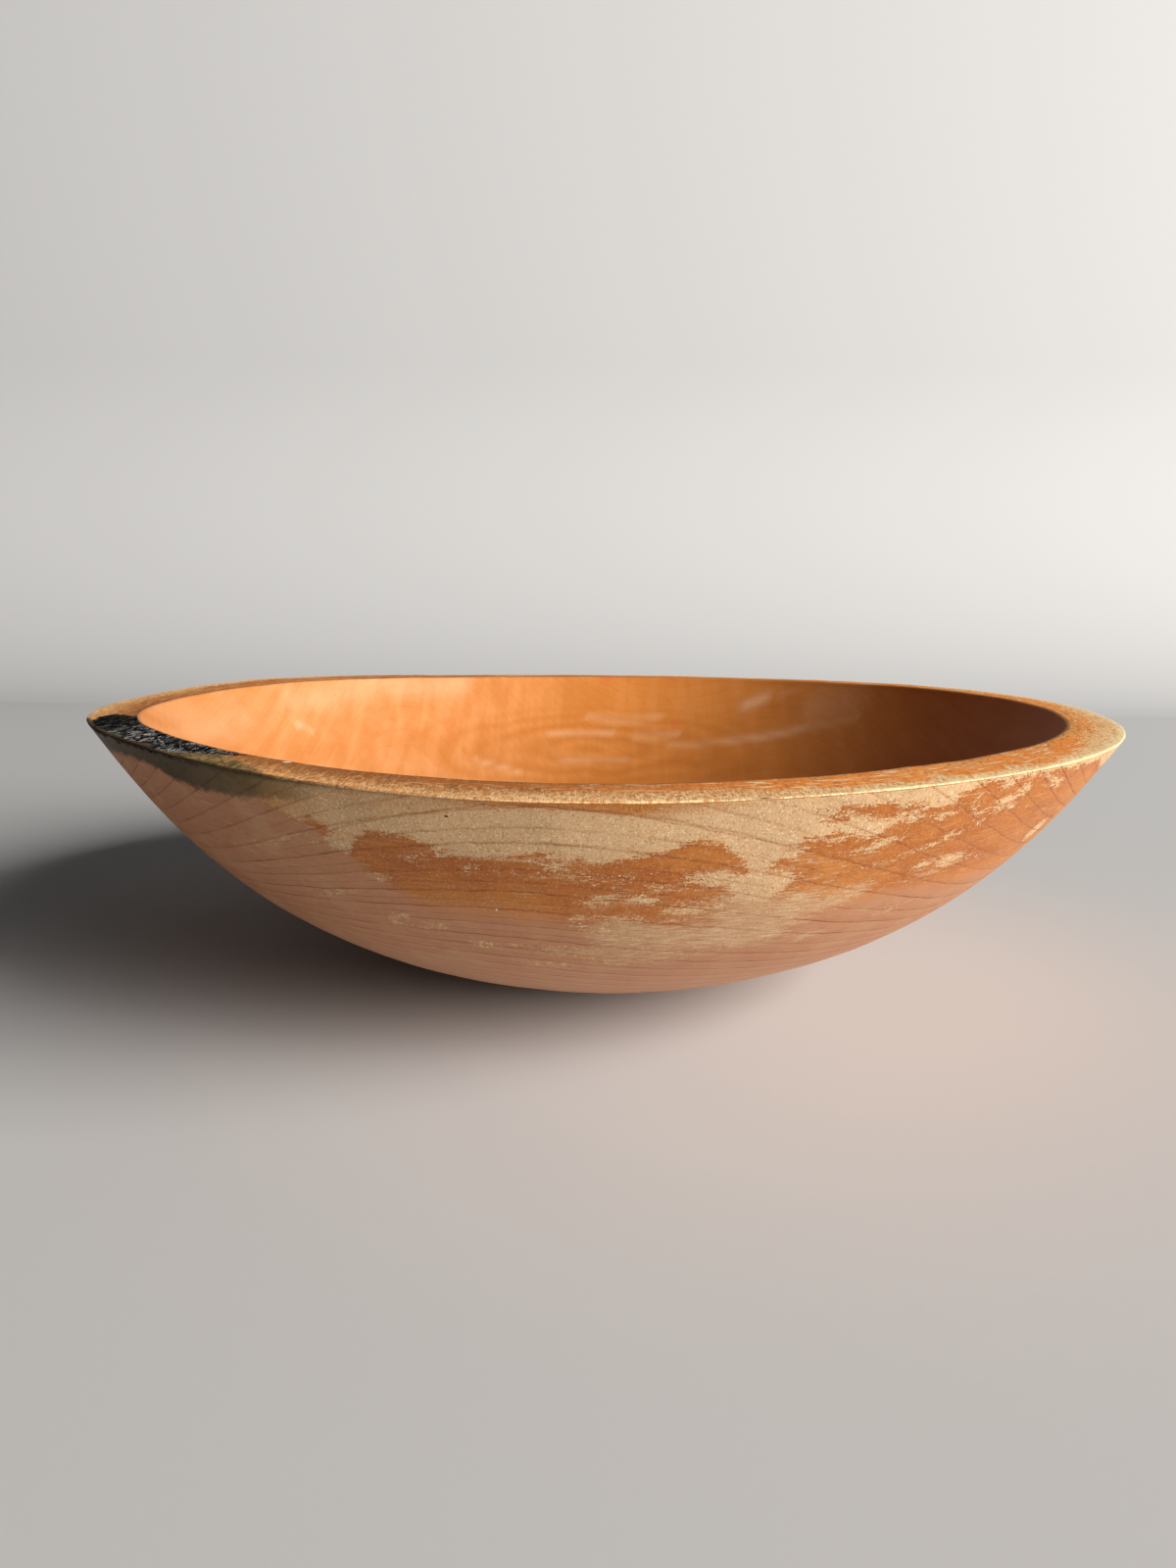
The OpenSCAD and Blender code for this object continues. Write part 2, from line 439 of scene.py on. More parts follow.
# %% Char and stain
CHAR_INSIDE = [(-180, 9), (-159, 0.55), (-155, 0.1), (-152, -0.3), (-124, -0.3), (-121.5, -0.1),
               (-120.5, 9), (180, 9)]
CHAR_OUTSIDE = [(-180, -9), (-159, 0.40), (-155, 0.78), (-150, 0.97), (-146, 1.02), (-140, 0.94),
                (-137, 0.90), (-134.5, 0.98), (-133, 0.88), (-131, 0.80), (-129.5, 0.95), (-127.5, 0.90),
                (-126, 0.72), (-124.5, 0.44), (-122.8, 0.26), (-122, 0.05), (-121, -0.2), (180, -9)]
STAIN = [(-180, 6), (-175, 11), (-165, 13), (-155, 11), (-150, 9), (-145, 7.5), (-140, 6.3),
         (-135, 5.2), (-132, 5.5), (-130, 6.5), (-128, 8), (-125, 9), (-122, 8.6), (-119, 8.2),
         (-117, 7.0), (-115, 6.2), (-113, 5.8), (-111, 4.0), (-109, 1.6), (-107, -1), (-104, -5),
         (-60, -9), (140, -9), (160, -2), (180, 6)]
RIM_WIDTH = 17.0
char = np.minimum(across - border(CHAR_INSIDE), border(CHAR_OUTSIDE) - across) * RIM_WIDTH
char = np.where(on_rim, char, -FAR)
LOW_CHAR = [(-152, 0.6, 6, 1.6, 0), (-142, 0.3, 6, 0.8, 0), (-133.5, 0.2, 2.5, 0.9, 0),
            (-127, 0.5, 2.4, 0.7, 0)]
char = np.where(on_outside, spots(np.full_like(below, -FAR), LOW_CHAR, below), char)
char = np.clip(char, -FAR, FAR)
stain = np.where(on_outside, border(STAIN) - below, -FAR)
OLIVE_INSIDE = [(-180, 9), (-158, 1.1), (-150, 0.85), (-140, 0.72), (-133, 0.5), (-128, 0.5),
                (-125.5, 0.32), (-123, 0.36), (-121, 0.48), (-118, 0.62), (-116.5, 0.78), (-115, 0.98),
                (-112, 1.15), (180, 9)]
stain = np.where(on_rim, (across - border(OLIVE_INSIDE)) * RIM_WIDTH, stain)
stain = np.clip(stain, -FAR, FAR)
stain_fade = np.interp(degrees, (-180, -160, -128, -117, -113, -109.5, 145, 180),
                       (0.5, 0.9, 1, 0.95, 0.5, 0, 0, 0.5))
print("share of the rim that is charred:", round(float((char > 0).sum() / on_rim.sum()), 2))

# %% [markdown]
# On the flat of the rim the varnish holds on near the hollow and is gone near the outer edge, where
# hands and sieves rubbed it. The marks there are placed by angle and by how far they lie across it.

# %% Orange left on the rim
RIM_ORANGE = [(-103.3, 0.22, 1.6, 0.17, 0), (-98.2, 0.20, 2.6, 0.12, 0), (-94.6, 0.15, 1.8, 0.10, 0),
              (-93, 0.34, 0.8, 0.12, 0), (-88.5, 0.22, 2.8, 0.24, 0), (-85.8, 0.38, 0.7, 0.14, 0),
              (-84, 0.22, 1.8, 0.16, 0), (-80.5, 0.18, 2.4, 0.14, 0.02), (-78, 0.12, 1.6, 0.10, 0),
              (-75.5, 0.28, 3.4, 0.30, 0), (-71.5, 0.42, 2.4, 0.28, 0), (-68.5, 0.32, 2.8, 0.32, 0),
              (-65.4, 0.38, 2.2, 0.38, 0), (-60.8, 0.30, 1.4, 0.25, 0.1), (-58.5, 0.58, 3.4, 0.20, 0),
              (-50.5, 0.45, 4.0, 0.42, 0), (-46, 0.34, 4.4, 0.36, 0.02), (-41, 0.38, 4.4, 0.28, 0),
              (-36, 0.28, 4.0, 0.16, 0), (-16, 0.35, 6.0, 0.12, 0), (10, 0.4, 12, 0.3, 0),
              (45, 0.5, 14, 0.35, 0), (85, 0.4, 18, 0.4, 0), (125, 0.5, 16, 0.4, 0),
              (155, 0.45, 12, 0.22, 0), (-176, 0.3, 6, 0.16, 0)]
rim_orange = spots(np.full_like(across, -FAR), RIM_ORANGE, across, RIM_WIDTH)
rim_orange = np.where(on_rim, np.clip(rim_orange, -FAR, FAR), -FAR)
print("orange on the rim:", round(float((rim_orange > 0).sum() / on_rim.sum()), 2))

# %% [markdown]
# The rest of the rim changes slowly on its way round: browner at the left, cream at the right. Its sharp
# outer edge has a painted highlight, a bright line, on one side, and a dark line on the other, which is
# soot under the char and painted shade past it. A painted shade lies in the corner where the lip begins.
# Each is a share that rises and falls round the bowl.

# %% The rim round the bowl, with painted highlight and painted shade
HIGHLIGHT_AT = 0.97
HIGHLIGHT_WIDE = 0.06
HIGHLIGHT_BELOW = 0.3
SOOT_SHADE_BELOW = 1.1
CORNER_AT = 0.4
CORNER_WIDE = 0.7
rim_dark = np.interp(degrees, (-180, -160, -124, -112, -100, -92, -72, 130, 180),
                     (0.5, 0.65, 0.8, 1, 0.95, 0.60, 0, 0, 0.5))
rim_dark = rim_dark[None, :] * np.clip(1.70 - 1.70 * across, 0.12, 1.50)
rim_pale = np.interp(degrees, (-180, -160, -124, -100, -90, -70, -58, -45, -30, 0, 60, 120, 180),
                     (0.55, 0.45, 0.10, 0.60, 0.65, 0.85, 1.00, 0.95, 1.0, 0.90, 0.6, 0.65, 0.55))
rim_pale = rim_pale[None, :] * np.clip(1.65 * across - 0.33, 0.0, 1.0)
# Painted highlight: a bright line along the crisp outer edge, strongest at the right front where the window
# lights it.
highlight_line = np.where(on_rim, np.exp(-(((across - HIGHLIGHT_AT) / HIGHLIGHT_WIDE) ** 2)), 0.0)
highlight_line = np.where(on_outside, np.exp(-((below / HIGHLIGHT_BELOW) ** 2)), highlight_line)
# A dark line under the outer edge: soot under the charred part of the rim, and painted shade where it runs on
# past the char on the shaded side.
soot_shade_line = np.where(on_rim & (across > 0.99), 0.8, 0.0)
soot_shade_line = np.where(on_outside, np.exp(-((below / SOOT_SHADE_BELOW) ** 2)), soot_shade_line)
highlight_round = np.interp(degrees, (-180, -150, -120, -104, -85, -70, -30, 180),
                      (0.5, 0, 0, 0, 0.08, 0.45, 1, 0.5))
soot_shade_round = np.interp(degrees, (-180, -150, -134, -122, -113, -107, -92, 180),
                      (0, 0.5, 1, 1, 1, 0.5, 0, 0))
# Painted shade: a dark line in the corner where the lip begins.
lip_shade_line = np.exp(-((radius - inner - CORNER_AT) / CORNER_WIDE) ** 2)
lip_shade_line = np.where(on_rim | in_hollow, lip_shade_line, 0.0)
print("dirty share of the rim:", round(float(rim_dark[on_rim].mean()), 2))

# %% [markdown]
# The hollow has few marks, because food oils it each time. There are a few pale smears,
# and a few small red drops near its far edge by berries or dye. Each smear is a stroke with two ends.

# %% Smears in the hollow
SMEARS = [(72, 139, 82, 138, 2.6, 0.8), (88, 136, 96, 133, 1.6, 0.25), (34, 130, 61, 125, 1.6, 0.35),
          (61, 125, 75, 120, 2.0, 0.6), (75, 120, 98, 112, 2.2, 0.65), (98, 112, 119, 99, 2.2, 0.45),
          (-27, 135, 5, 139, 1.2, 0.45), (-8, 146, 29, 145, 1.6, 0.4), (16, 137, 38, 135, 1.6, 0.45),
          (-23, 122, 12, 124, 1.2, 0.4), (-60, 107, -40, 109, 1.6, 0.5), (105, 118, 118, 109, 9.0, 0.35),
          (-133, 56, -128, 61, 1.3, 0.7), (-138, 66, -110, 112, 4.5, 0.32), (-110, 112, -70, 142, 4.0, 0.38),
          (-152, -26, -147, 30, 5.0, 0.25), (-58, -78, 4, -92, 2.2, 0.22), (22, 26, 52, 34, 3.0, 0.20)]
DROPS = [(2, 164, 2.2, 0.9), (14, 163.5, 1.6, 0.5), (36, 162, 2.4, 0.8), (37, 141, 1.8, 0.9),
         (30, 170, 1.4, 0.6), (-30, 90, 1.2, 0.4), (60, 30, 1.0, 0.4), (-147, 15, 1.3, 0.35),
         (-75, 115, 2.0, 0.35), (-90, 102, 1.8, 0.25), (-104, 76, 2.0, 0.25), (-71, 92, 1.8, 0.25),
         (-42, 95, 1.8, 0.25)]


def stroke(points, ends):
    """Soft stroke in plan: strength * exp(-(distance to the line between its ends / width)^2)."""
    x0, y0, x1, y1, width, strength = ends
    run = np.array([x1 - x0, y1 - y0], float)
    off = points[..., :2] - np.array([x0, y0])
    share = np.clip((off @ run) / (run @ run), 0, 1)
    return strength * np.exp(-(np.linalg.norm(off - share[..., None] * run, axis=-1) / width) ** 2)


open_side = on_rim | in_hollow
smear = np.where(in_hollow, np.max([stroke(grid, ends) for ends in SMEARS], axis=0), 0.0)
drops = np.max([stroke(grid, (at_x, at_y, at_x + 0.1, at_y, size, strength))
                for at_x, at_y, size, strength in DROPS], axis=0)
drops = np.where(open_side, drops, 0.0)
print("smears", len(SMEARS), "drops", len(DROPS))

# %% [markdown]
# ## Displacing the mesh
# Now the unevenness goes in, along each point's own normal: a slow wobble everywhere, knocks on the
# crisp edge, and pits where the wood burnt away. Lengths are in millimetres, and the foot gets little.

# %% Relief
WOBBLE = 0.10
SMALL_WOBBLE = 0.04
KNOCK = 0.07
DEEP_KNOCK = 0.14
KNOCK_WIDE = 0.05
BURNT_AWAY = 0.25
PIT = 0.14
SMALL_PIT = 0.10
FOOT_SHARE = 0.15
step_round = np.roll(grid, -1, axis=1) - np.roll(grid, 1, axis=1)
step_along = np.gradient(grid, axis=0)
normal = np.cross(step_round, step_along)
normal /= np.linalg.norm(normal, axis=2, keepdims=True)
wobble = WOBBLE * lumps(grid, 45, 11) + SMALL_WOBBLE * lumps(grid, 14, 12)
edge_near = np.where(on_outside, np.exp(-below**2), 0.0)
edge_near = np.where(on_rim, np.exp(-(((across - 1.0) / KNOCK_WIDE) ** 2)), edge_near)
knocks = edge_near * (KNOCK * lumps(grid, 9, 13) - DEEP_KNOCK * np.clip(lumps(grid, 23, 14) - 0.5, 0, 1))
burnt = np.clip(char / 2.0, 0, 1)
grain_run = grid * np.array([1.0, 0.28, 1.0])
pits = burnt * (PIT * lumps(grain_run, 3.4, 15) + SMALL_PIT * lumps(grain_run, 1.9, 17) - BURNT_AWAY)
lift = np.where(on_foot, FOOT_SHARE, 1.0) * (wobble + knocks + pits)
grid = grid + normal * lift[:, :, None]
grid[:, :, 2] = np.maximum(grid[:, :, 2], 0.0)
print("relief, mm, from", lift.min().round(2), "to", lift.max().round(2))

# %% [markdown]
# ## Closing the surface
# The rows make quads with their neighbours, the last column joins the first, and one point closes
# each end: under the foot and on the floor of the hollow.

# %% Mesh
row_count = len(rows)
foot_middle = np.array([[0.0, 0.0, FOOT_DISH]])
floor_middle = np.array([[0.0, 0.0, FLOOR_Z]])
points = np.concatenate([grid.reshape(-1, 3), foot_middle, floor_middle]) * MM
number = np.arange(row_count * COLUMNS).reshape(row_count, COLUMNS)
a = number[:-1, :]
b = np.roll(number, -1, axis=1)[:-1, :]
c = np.roll(number, -1, axis=1)[1:, :]
d = number[1:, :]
quads = np.stack([a, b, c, d], axis=-1).reshape(-1, 4)
foot_fan = np.stack([np.full(COLUMNS, row_count * COLUMNS), np.roll(number[0], -1), number[0]], axis=-1)
floor_fan = np.stack([np.full(COLUMNS, row_count * COLUMNS + 1), number[-1], np.roll(number[-1], -1)],
                     axis=-1)
faces = quads.tolist() + foot_fan.tolist() + floor_fan.tolist()
mesh = bpy.data.meshes.new("turned_bowl")
mesh.from_pydata(points.tolist(), [], faces)
mesh.polygons.foreach_set("use_smooth", np.ones(len(mesh.polygons), bool))
mesh.validate()
mesh.update()
bowl = bpy.data.objects.new("turned_bowl", mesh)
bpy.context.scene.collection.objects.link(bowl)


def keep(name, values, foot_value, floor_value):
    """Stores one number per point on the mesh, for the material to read."""
    layer = mesh.attributes.new(name, "FLOAT", "POINT")
    layer.data.foreach_set("value", np.append(values.ravel(), (foot_value, floor_value)).astype(np.float32))


keep("bare_mm", bare, -FAR, -FAR)
keep("worn", worn, 0, 0)
keep("amber", amber, 0, 0)
keep("amber_line_mm", amber_line, FAR, FAR)
keep("thick", thick, 0, 1)
keep("deep_coat", deep_coat, 0, 0)
keep("char_mm", char, -FAR, -FAR)
keep("stain_mm", stain, -FAR, -FAR)
keep("stain_share", np.broadcast_to(stain_fade, radius.shape), 0, 0)
keep("rim_orange_mm", rim_orange, -FAR, -FAR)
keep("rim_dark", rim_dark, 0, 0)
keep("rim_pale", rim_pale, 0, 0)
keep("edge_highlight", highlight_line * highlight_round, 0, 0)
keep("edge_soot_and_shade", soot_shade_line * soot_shade_round, 0, 0)
keep("lip_shade_line", lip_shade_line, 0, 0)
keep("on_rim", on_rim, 0, 0)
keep("in_hollow", in_hollow, 0, 1)
keep("smear", smear, 0, 0)
keep("drops", drops, 0, 0)
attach(bowl, "root")
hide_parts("bowl")
print("faces", len(mesh.polygons), "points", len(mesh.vertices))

# %% [markdown]
# ## Shader maths as plain sums
# A node tree is easier to read as a formula. This small class holds one socket, and adding or
# multiplying two of them adds the Math node for it. Every other kind of node comes from one method.

# %% Sockets that add up


class Wire:
    """One output socket of a shader tree. Operators add Math nodes; node() adds any other kind."""

    def __init__(self, tree, socket=None):
        self.tree = tree
        self.socket = socket

    def node(self, kind, settings, sockets, out=0):
        """Adds a node: its settings first, then the values or links of its sockets; gives one output."""
        made = self.tree.nodes.new(kind)
        for name, value in settings.items():
            setattr(made, name, value)
        for key, value in sockets.items():
            if isinstance(value, Wire):
                self.tree.links.new(value.socket, made.inputs[key])
            else:
                made.inputs[key].default_value = value
        return Wire(self.tree, made.outputs[out])

    def math(self, operation, *others):
        """A Math node on this value and the others, in that order."""
        return self.node("ShaderNodeMath", {"operation": operation}, dict(enumerate((self, *others))))

    def __add__(self, other):
        return self.math("ADD", other)

    def __sub__(self, other):
        return self.math("SUBTRACT", other)

    def __mul__(self, other):
        return self.math("MULTIPLY", other)

    def __rsub__(self, other):
        return self.node("ShaderNodeMath", {"operation": "SUBTRACT"}, {0: other, 1: self})

    def __neg__(self):
        return self.math("MULTIPLY", -1.0)

    __radd__ = __add__
    __rmul__ = __mul__

    def over(self, low, high):
        """0 below low, 1 above high, a smooth step between."""
        return self.node("ShaderNodeMapRange", {"interpolation_type": "SMOOTHSTEP"},
                         {"Value": self, "From Min": low, "From Max": high})

    def vector(self, operation, *others, out=0):
        """A Vector Math node on this vector and the others."""
        return self.node("ShaderNodeVectorMath", {"operation": operation},
                         dict(enumerate((self, *others))), out)

    def noise(self, scale, detail=2.0, rough=0.5, distort=0.0):
        """Blender's noise at this vector, 0 to 1, with scale in bumps per millimetre."""
        return self.node("ShaderNodeTexNoise", {},
                         {"Vector": self, "Scale": scale, "Detail": detail, "Roughness": rough,
                          "Distortion": distort})

    def mixed(self, other, share):
        """This colour turning into the other as share goes from 0 to 1."""
        return self.node("ShaderNodeMix", {"data_type": "RGBA"}, {0: share, 6: self, 7: other}, 2)

    def tinted(self, other, share):
        """This colour multiplied by the other, as far as share says."""
        return self.node("ShaderNodeMix", {"data_type": "RGBA", "blend_type": "MULTIPLY"},
                         {0: share, 6: self, 7: other}, 2)


# %% [markdown]
# A pattern in solid wood needs only the place of a point in the block, so that it runs on unbroken from
# the wall over the rim into the hollow. That is what Object coordinates give, here in millimetres. What
# belongs to this bowl alone, its marks, comes from the numbers that the mesh keeps.

# %% Where a point of the wood is
wood = bpy.data.materials.new("old_maple")
wood.use_nodes = True
tree = wood.node_tree
tree.nodes.clear()
start = Wire(tree)
metres = start.node("ShaderNodeTexCoord", {}, {}, "Object")
place = metres.vector("SCALE")
place.socket.node.inputs["Scale"].default_value = 1 / MM
x = place.node("ShaderNodeSeparateXYZ", {}, {0: place}, 0)
y = place.node("ShaderNodeSeparateXYZ", {}, {0: place}, 1)
z = place.node("ShaderNodeSeparateXYZ", {}, {0: place}, 2)


def kept(name):
    """The number that the mesh keeps under this name."""
    return start.node("ShaderNodeAttribute", {"attribute_name": name}, {}, "Fac")


def stretched(run_x, run_y, run_z):
    """The place divided by how far the pattern runs along each axis."""
    return place.vector("MULTIPLY", (1 / run_x, 1 / run_y, 1 / run_z))


print("material", wood.name)

# %% [markdown]
# ## Growth rings
# The tree's yearly rings run through the solid wood, and the bowl's surface cuts them into arcs.
# Near enough, each ring is a sheet: height, plus a slope along the grain, plus a bend across it that
# grows towards the front. The slopes and bends come from a least-squares fit to the arcs on the front
# of the real bowl. One number per sheet is all that is needed, and the surface draws the arcs by
# itself, in the hollow too.
# The rings lie closer together the deeper they are, which the square in the ring number brings.

# %% Rings
RING_FROM = 94.0
FIRST_RING = 26.9
RINGS_PER_MM = 0.0857
RINGS_CROWD = 0.00105
sway = stretched(1, 2.5, 1).noise(0.030, 2.0)
shiver = stretched(1, 3.0, 1).noise(0.22, 2.0)
front = y.math("MINIMUM", 0.0)
wide = x * x
bend = 0.00000034 * wide - 0.0000064 * x - 0.0000625 * front - 0.0074
level = (z - RING_FROM) - 0.209 * y + 0.262 * x + 0.00086 * x * y - 0.0002 * y * y + wide * bend
level = level + (sway - 0.5) * 2.0 + (shiver - 0.5) * 1.2 - FIRST_RING
deep = -level - 1.0
deeper = deep.math("MAXIMUM", 0.0)
ring = RINGS_PER_MM * deep + RINGS_CROWD * deeper * deeper
year = ring.math("FLOOR")
in_year = ring.math("FRACT")
half_year = (ring + 0.47).math("FRACT")
strength = start.node("ShaderNodeTexWhiteNoise", {"noise_dimensions": "1D"}, {"W": year}, 0)
main_line = in_year.over(0.86, 0.955) * (1.0 - in_year.over(0.960, 1.0))
faint_line = half_year.over(0.88, 0.960) * (1.0 - half_year.over(0.960, 1.0))
faint_line = faint_line * (1.0 - x.over(20.0, 90.0)) * x.over(-110.0, -50.0)
broken = stretched(1.0, 1.0, 1.0).noise(0.09, 3.0).over(0.30, 0.62)
ring_line = (main_line * (0.50 + 0.50 * strength) + 0.50 * faint_line) * (0.40 + 0.60 * broken)
ring_shade = in_year.over(0.25, 0.97) * (1.0 - in_year.over(0.970, 1.0))
print("nodes so far", len(tree.nodes))

# %% [markdown]
# ## Grain, pores and curl
# Maple has tiny pores. Where the surface cuts across the fibres they are dots, and where it runs with
# them they are dashes. Noise that is stretched along the fibres, which run front to back here, shows
# both by itself, at three sizes: pores, glints of cut fibre, and long streaks of darker grain.

# %% Grain
fibre = stretched(1, 7, 1)
pores = fibre.noise(1.8, 2.0, 0.7).over(0.52, 0.67)
glints = fibre.vector("ADD", (31.0, 7.0, 13.0)).noise(1.6, 2.0, 0.7).over(0.53, 0.68)
mottle = stretched(1, 4, 1).noise(0.55, 3.0, 0.70)
long_grain = stretched(1, 16, 1).noise(0.55, 3.0, 0.6)
cloud = stretched(1, 1.6, 1).noise(0.035, 2.0)
patch = stretched(1, 1.3, 1).vector("ADD", (90.0, 20.0, 50.0)).noise(0.085, 3.0)
bands = stretched(1, 14, 5).noise(0.21, 2.0, 0.5)
print("nodes so far", len(tree.nodes))

# %% [markdown]
# ## Wear follows the hand
# Cloths and hands move round a bowl, so scratches and the borders of the worn patches run that way.
# This vector is slow round the bowl and quick up the wall, and it has no seam.

# %% Round the bowl
spoke = start.node("ShaderNodeCombineXYZ", {}, {0: x, 1: y, 2: 0.0})
reach = spoke.vector("LENGTH", out="Value")
around = spoke.vector("NORMALIZE")
climb = start.node("ShaderNodeCombineXYZ", {}, {0: 0.0, 1: 0.0, 2: z + reach})


def run_round(slow):
    """A vector for noise whose streaks run round the bowl, slow times longer than they are high."""
    ring_vector = around.vector("SCALE")
    ring_vector.socket.node.inputs["Scale"].default_value = RIM_R / slow
    return ring_vector.vector("ADD", climb)


tear = run_round(7.0).noise(0.75, 4.0, 0.65)
rag = place.noise(0.26, 4.0, 0.60)
grit = place.noise(2.4, 2.0, 0.6)
fray = run_round(1.8).noise(1.25, 3.0, 0.65)
scuff = run_round(9.0).noise(1.5, 3.0, 0.65)
hairline = run_round(26.0).noise(2.2, 2.0, 0.6).over(0.60, 0.72)
print("nodes so far", len(tree.nodes))

# %% [markdown]
# ## Ragged borders
# Here the maps from the mesh are cut into masks. Varnish tears along hand marks, grain and pores at
# once, so each map first gets several noises, in millimetres, and then a soft or a crisp step at zero.

# %% Cutting the marks
torn = (tear - 0.5) * 4.2 + (rag - 0.5) * 3.0 + (fray - 0.5) * 4.6 + (grit - 0.5) * 3.6
bare_mm = kept("bare_mm") + torn + (glints - pores) * 0.35
crisp = (patch + 0.0008 * x).over(0.36, 0.50) * (0.2 + 0.8 * x.over(-88.0, -62.0))
bareness = bare_mm.over(-0.15, 0.30) * crisp + bare_mm.over(-1.3, 1.0) * (1.0 - crisp)
thick_edge = bare_mm.over(-4.5, -0.4) * (1.0 - bareness)
tide = bare_mm.over(-0.75, -0.15) * (1.0 - bare_mm.over(-0.05, 0.25)) * mottle.over(0.42, 0.62)
rub_through = kept("worn") * 1.5 + (scuff - 0.5) * 1.5 + (fray - 0.5) * 1.5 + (mottle - 0.5) * 0.9
rubbed = rub_through.over(0.45, 1.05)
rim_torn = (mottle - 0.5) * 4.0 + (long_grain - 0.5) * 3.0 + (rag - 0.5) * 3.0 + (fray - 0.5) * 6.0
rim_varnish = (kept("rim_orange_mm") + rim_torn).over(-1.7, 0.2)
char_mm = kept("char_mm") + (long_grain - 0.5) * 4.0 + (rag - 0.5) * 3.0 + (fray - 0.5) * 2.5
charred = char_mm.over(-0.5, 1.0)
stain_mm = kept("stain_mm") + (rag - 0.5) * 3.0 + (fray - 0.5) * 1.6 + (long_grain - 0.5) * 2.0
stained = stain_mm.over(-0.8, 1.6) * kept("stain_share")
thickness = (kept("thick") + (cloud - 0.5) * 0.5 + (tear - 0.5) * 0.35).over(0.10, 0.90)
rim_part = kept("on_rim")
hollow_part = kept("in_hollow")
print("nodes so far", len(tree.nodes))

# %% [markdown]
# ## Colours, one layer on another
# The colours go on as they did on the real bowl: raw wood first, then varnish with the rings showing
# through, then dirt in the bare parts, then soot. Each layer is one colour and one share.

# %% Wood under and over the varnish
RAW = (0.70, 0.45, 0.240, 1)
RAW_DARK = (0.34, 0.175, 0.066, 1)
RAW_LIGHT = (0.96, 0.76, 0.51, 1)
RAW_OLIVE = (0.54, 0.35, 0.185, 1)
THICK_ORANGE = (0.59, 0.225, 0.043, 1)
THICK_DEEP = (0.34, 0.080, 0.012, 1)
THIN_PINK = (0.52, 0.240, 0.122, 1)
THIN_DULL = (0.38, 0.162, 0.077, 1)
THIN_PALE = (0.61, 0.335, 0.205, 1)
RUB_TAN = (0.56, 0.345, 0.185, 1)
LINE_TINT = (0.52, 0.32, 0.22, 1)
AMBER_TINT = (0.74, 0.44, 0.19, 1)
THREAD_TINT = (0.55, 0.33, 0.18, 1)
GOLD_STAIN = (0.66, 0.33, 0.105, 1)
PIN_HOLE_SHADE = (0.10, 0.05, 0.025, 1)
CHIP_WHITE = (0.92, 0.80, 0.66, 1)


def colour(value):
    """A colour as a wire, so that it can be mixed."""
    return start.node("ShaderNodeMix", {"data_type": "RGBA"}, {0: 0.0, 6: value, 7: value}, 2)


raw = colour(RAW).mixed(RAW_OLIVE, patch.over(0.35, 0.68) * 0.50 + (1.0 - x.over(-100.0, -30.0)) * 0.6)
raw = raw.mixed(RAW_DARK, pores * 0.62 + (long_grain - 0.5) * 0.4 + (mottle - 0.5) * 0.55)
raw = raw.mixed(GOLD_STAIN, mottle.over(0.50, 0.72) * 0.45)
raw = raw.mixed(RAW_LIGHT, glints * 0.55 + hairline * 0.15)
raw = raw.tinted(LINE_TINT, ring_line * 0.90)
orange_depth = (0.78 - long_grain) * 0.60 + pores * 0.30 + thick_edge * (0.15 + 0.9 * (mottle - 0.25))
orange = colour(THICK_ORANGE).mixed(THICK_DEEP, orange_depth)
orange = orange.mixed(THICK_DEEP, kept("deep_coat") * (0.25 + 1.6 * (tear - 0.38)))
orange = orange.tinted(LINE_TINT, ring_line * 0.80 + ring_shade * 0.08)
orange = orange.mixed(RAW_LIGHT, glints * 0.16)
pink_dull = (long_grain - 0.35) * 0.9 + (mottle - 0.5) * 0.4 + 0.75 * (1.0 - x.over(-115.0, -50.0))
pink = colour(THIN_PINK).mixed(THIN_DULL, pink_dull)
pink = pink.mixed(THIN_PALE, (1.0 - z.over(15.0, 50.0)) * 0.75)
pink = pink.tinted(LINE_TINT, ring_line * 1.05 + ring_shade * 0.14)
pink = pink.mixed(RUB_TAN, patch.over(0.45, 0.75) * 0.30 + glints * 0.14 + (scuff - 0.45) * 0.5)
wall = pink.mixed(orange, thickness)
wall = wall.mixed(RAW_LIGHT, hairline * 0.22)
tan = colour(RUB_TAN).mixed(RAW_LIGHT, (scuff - 0.48) * 2.0 + glints * 0.25)
tan = tan.mixed(THIN_DULL, (0.47 - scuff) * 2.2 + (mottle - 0.55) * 0.8)
tan = tan.tinted(LINE_TINT, ring_line * 0.35 + pores * 0.22)
wall = wall.mixed(tan, rubbed * 0.88)
print("nodes so far", len(tree.nodes))

# %% [markdown]
# A year of darker growth comes out just under the rim: an amber haze that thins to one brown line.

# %% Amber
amber_side = kept("amber_line_mm") + (shiver - 0.5) * 1.6
amber_thread = (1.0 - amber_side.math("ABSOLUTE").over(0.08, 0.42)) * (0.45 + 0.55 * broken)
amber_share = kept("amber") * (1.0 + 0.9 * (tear - 0.3)) * (1.0 - 0.55 * amber_side.over(-0.2, 0.3))
raw = raw.tinted(AMBER_TINT, amber_share).tinted(THREAD_TINT, amber_thread * 0.50)

# %% [markdown]
# A few single marks are too small for the mesh: a pin hole, two brown dots, small chips. Each is an
# oval ball of colour in the wood, set at a point that the same profile gives.

# %% Dots and a pin hole


def wall_point(at, level):
    """The point of the outside at an angle and a distance below the rim, from the same profile."""
    angle = np.radians(np.array([at]))
    outs = np.linspace(FOOT_OUT, EDGE_OUT, 1500)
    out = np.interp(-level, -drop(outs), outs)
    far = out * rim_radius(angle)
    up = RIM_Z - drop(out) + warp(angle, far / RIM_R)
    return float(far[0] * np.cos(angle[0])), float(far[0] * np.sin(angle[0])), float(up[0])


def dot(at, level, half_wide, half_high):
    """1 inside an oval of that half width and height on the wall, in mm, 0 outside it."""
    away = place.vector("SUBTRACT", wall_point(at, level))
    away = away.vector("MULTIPLY", (1 / half_wide, 0.4 / half_wide, 1 / half_high))
    return 1.0 - away.vector("LENGTH", out="Value").over(0.6, 1.0)
